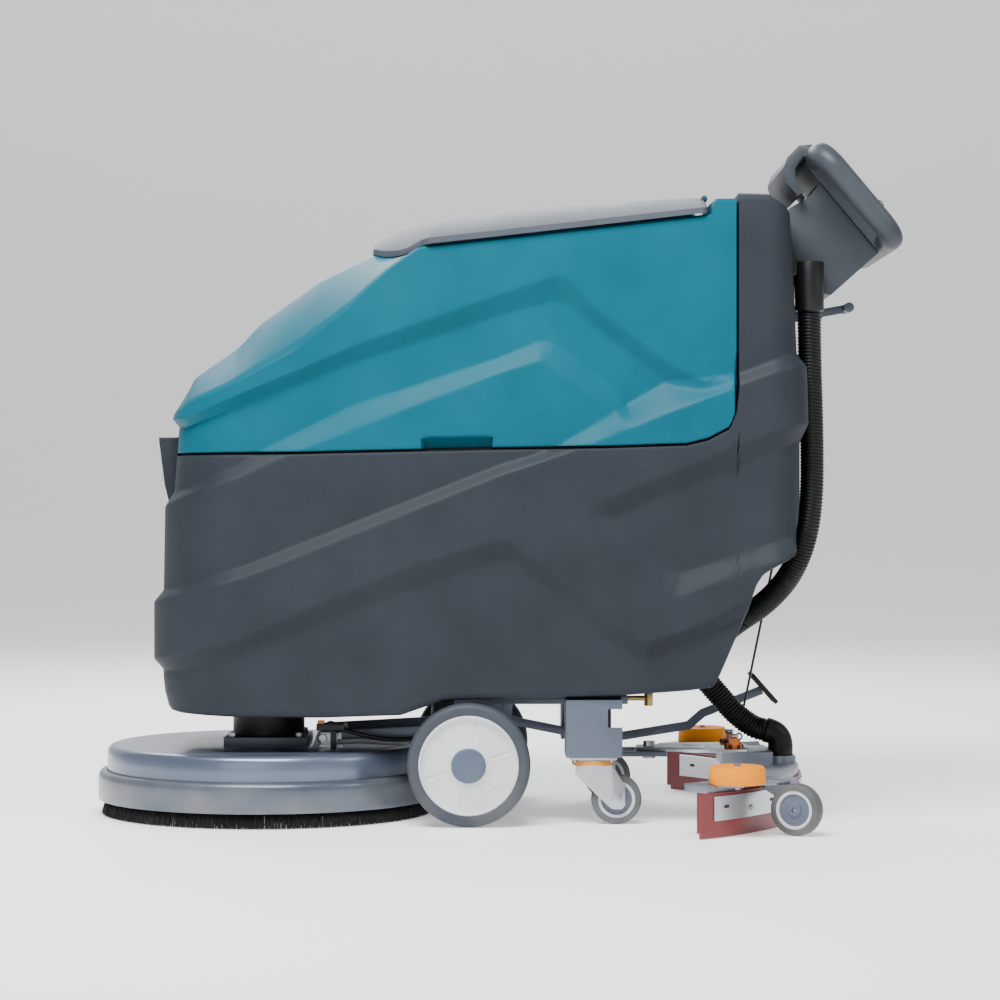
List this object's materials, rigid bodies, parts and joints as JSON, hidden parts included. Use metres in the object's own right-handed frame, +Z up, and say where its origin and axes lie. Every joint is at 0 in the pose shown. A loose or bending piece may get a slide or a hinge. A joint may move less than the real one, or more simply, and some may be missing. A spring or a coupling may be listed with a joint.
{
  "type": "floor scrubber",
  "caption": "Walk-behind floor scrubber with a disc brush deck, water and recovery tanks, battery bay, curved squeegee and a control handle",
  "frame": {"origin": "on the floor, below the middle of the machine's overall box", "axes": "+X points back to the operator, +Y to the machine's right, +Z up; the brush deck is at -X"},
  "size_m": [1.2596, 0.784, 1.049],
  "materials": {
    "tank_grey": "rotomoulded polyethylene with a fine pebble",
    "tank_teal": "rotomoulded polyethylene with a fine pebble",
    "lid_grey": "rotomoulded polyethylene with a fine pebble",
    "head_grey": "moulded plastic with a satin skin",
    "black_plastic": "moulded plastic",
    "hose_black": "corrugated hose",
    "frame_blue_grey": "powder coat",
    "deck_blue_grey": "polished casting with a blue-grey lacquer",
    "skirt_grey": "moulded skirt",
    "zinc": "zinc plate",
    "stainless": "brushed",
    "steel": "turned steel",
    "chrome": "bright plate",
    "brass": "nickel-dulled brass",
    "tyre_rubber": "non-marking rubber",
    "caster_rubber": "grey thermoplastic rubber",
    "rim_plastic": "moulded nylon",
    "blade_red": "oil-resistant rubber",
    "bumper_yellow": "moulded polyurethane",
    "nut_orange": "moulded plastic",
    "bristle_black": "polypropylene bristle",
    "motor_black": "satin enamel",
    "battery_black": "moulded case",
    "button_red": "moulded plastic",
    "panel_dark": "printed overlay"
  },
  "bodies": {
    "chassis": {"solution_tank": "tank_grey", "chassis_frame": "frame_blue_grey", "axle_and_pins": "steel", "caster_plates": "zinc", "batteries": "battery_black", "vacuum_motor": "black_plastic", "controller": "steel", "water_filter": "black_plastic", "drain_valve": "brass", "tank_hinges": "frame_blue_grey", "lever_bracket": "frame_blue_grey", "hose_cuff": "black_plastic", "hose_upper": "hose_black", "lift_cable": "black_plastic", "control_neck": "head_grey", "control_head": "head_grey", "control_panel": "panel_dark"},
    "filler_cap": {"filler_cap": "black_plastic"},
    "key": {"key": "chrome"},
    "stop_button": {"stop_button": "button_red"},
    "brush_switch": {"brush_switch": "black_plastic"},
    "vacuum_switch": {"vacuum_switch": "black_plastic"},
    "lift_lever": {"lift_lever": "frame_blue_grey"},
    "recovery_tank": {"recovery_tank": "tank_teal", "float_cage": "black_plastic"},
    "tank_lid": {"tank_lid": "lid_grey"},
    "deck_lift": {"deck_lift_arm": "frame_blue_grey", "pedal_pad": "black_plastic"},
    "deck": {"deck_cover": "deck_blue_grey", "splash_skirt": "skirt_grey", "motor_plate": "frame_blue_grey", "brush_motor": "motor_black", "motor_bolts": "zinc"},
    "brush": {"drive_hub": "steel", "brush_block": "black_plastic", "bristles": "bristle_black"},
    "left_wheel": {"left_tyre": "tyre_rubber", "left_rim": "rim_plastic"},
    "right_wheel": {"right_tyre": "tyre_rubber", "right_rim": "rim_plastic"},
    "left_swivel": {"left_caster_fork": "zinc"},
    "left_caster": {"left_caster_wheel": "caster_rubber"},
    "right_swivel": {"right_caster_fork": "zinc"},
    "right_caster": {"right_caster_wheel": "caster_rubber"},
    "squeegee_arm": {"squeegee_yoke": "frame_blue_grey"},
    "squeegee": {"swing_plate": "zinc", "squeegee_body": "frame_blue_grey", "front_blade": "blade_red", "rear_blade": "blade_red", "blade_straps": "stainless", "suction_elbow": "black_plastic", "thumb_nuts": "nut_orange", "hose_lower": "hose_black"},
    "left_bumper": {"left_bumper": "bumper_yellow"},
    "right_bumper": {"right_bumper": "bumper_yellow"},
    "left_squeegee_wheel": {"left_squeegee_wheel": "caster_rubber"},
    "right_squeegee_wheel": {"right_squeegee_wheel": "caster_rubber"}
  },
  "joints": [
    {"name": "filler_cap_hinge", "type": "hinge", "parent": "chassis", "child": "filler_cap", "pos_m": [-0.5055, 0, 0.594], "axis": [0, 1, 0], "range_deg": [0, 85]},
    {"name": "key_turn", "type": "hinge", "parent": "chassis", "child": "key", "pos_m": [0.58464, -0.05, 0.94952], "axis": [0.766, 0, 0.6428], "range_deg": [0, 90]},
    {"name": "stop_button_push", "type": "slide", "parent": "chassis", "child": "stop_button", "axis": [-0.766, 0, -0.6428], "range_m": [0, 0.006], "stiffness_N_per_m": 800},
    {"name": "brush_switch_rock", "type": "hinge", "parent": "chassis", "child": "brush_switch", "pos_m": [0.56922, 0.02, 0.96791], "axis": [0, 1, 0], "range_deg": [0, 16]},
    {"name": "vacuum_switch_rock", "type": "hinge", "parent": "chassis", "child": "vacuum_switch", "pos_m": [0.56922, 0.06, 0.96791], "axis": [0, 1, 0], "range_deg": [0, 16]},
    {"name": "tank_tilt", "type": "hinge", "parent": "chassis", "child": "recovery_tank", "pos_m": [0, 0.244, 0.575], "axis": [-1, 0, 0], "range_deg": [0, 75]},
    {"name": "lid_hinge", "type": "hinge", "parent": "recovery_tank", "child": "tank_lid", "pos_m": [0.318, 0, 0.963], "axis": [0, 1, 0], "range_deg": [0, 80]},
    {"name": "deck_lift", "type": "hinge", "parent": "chassis", "child": "deck_lift", "pos_m": [0, 0, 0.14], "axis": [0, 1, 0], "range_deg": [0, 5]},
    {"name": "deck_level", "type": "hinge", "parent": "deck_lift", "child": "deck", "pos_m": [-0.275, 0, 0.125], "axis": [0, 1, 0], "range_deg": [-5, 0]},
    {"name": "brush_spin", "type": "hinge", "parent": "deck", "child": "brush", "pos_m": [-0.368, 0, 0.05], "axis": [0, 0, 1], "continuous": true},
    {"name": "left_wheel_spin", "type": "hinge", "parent": "chassis", "child": "left_wheel", "pos_m": [-0.046, -0.218, 0.094], "axis": [0, 1, 0], "continuous": true},
    {"name": "right_wheel_spin", "type": "hinge", "parent": "chassis", "child": "right_wheel", "pos_m": [-0.046, 0.218, 0.094], "axis": [0, 1, 0], "continuous": true},
    {"name": "left_swivel_turn", "type": "hinge", "parent": "chassis", "child": "left_swivel", "pos_m": [0.144, -0.18, 0.09], "axis": [0, 0, 1], "continuous": true},
    {"name": "left_caster_spin", "type": "hinge", "parent": "left_swivel", "child": "left_caster", "pos_m": [0.18, -0.18, 0.0385], "axis": [0, 1, 0], "continuous": true},
    {"name": "right_swivel_turn", "type": "hinge", "parent": "chassis", "child": "right_swivel", "pos_m": [0.144, 0.18, 0.09], "axis": [0, 0, 1], "continuous": true},
    {"name": "right_caster_spin", "type": "hinge", "parent": "right_swivel", "child": "right_caster", "pos_m": [0.18, 0.18, 0.0385], "axis": [0, 1, 0], "continuous": true},
    {"name": "squeegee_lift", "type": "hinge", "parent": "chassis", "child": "squeegee_arm", "pos_m": [0.15, 0, 0.095], "axis": [0, -1, 0], "range_deg": [0, 6], "deforming": ["hose_upper", "lift_cable"]},
    {"name": "lever_turn", "type": "hinge", "parent": "chassis", "child": "lift_lever", "pos_m": [0.512, 0.044, 0.797], "axis": [0, 1, 0], "range_deg": [0, 60]},
    {"name": "squeegee_swing", "type": "hinge", "parent": "squeegee_arm", "child": "squeegee", "pos_m": [0.24, 0, 0.098], "axis": [0, 0, 1], "range_deg": [-15, 15], "deforming": ["hose_lower"]},
    {"name": "left_bumper_spin", "type": "hinge", "parent": "squeegee", "child": "left_bumper", "pos_m": [0.351, -0.35, 0.09], "axis": [0, 0, 1], "continuous": true},
    {"name": "left_squeegee_wheel_spin", "type": "hinge", "parent": "squeegee", "child": "left_squeegee_wheel", "pos_m": [0.441, -0.33, 0.0385], "axis": [0.4695, 0.8829, 0], "continuous": true},
    {"name": "right_bumper_spin", "type": "hinge", "parent": "squeegee", "child": "right_bumper", "pos_m": [0.351, 0.35, 0.09], "axis": [0, 0, 1], "continuous": true},
    {"name": "right_squeegee_wheel_spin", "type": "hinge", "parent": "squeegee", "child": "right_squeegee_wheel", "pos_m": [0.441, 0.33, 0.0385], "axis": [-0.4695, 0.8829, 0], "continuous": true}
  ],
  "couplings": [
    {"joint": "deck_level", "follows": "deck_lift", "ratio": -1},
    {"joint": "lever_turn", "follows": "squeegee_lift", "ratio": 10}
  ]
}
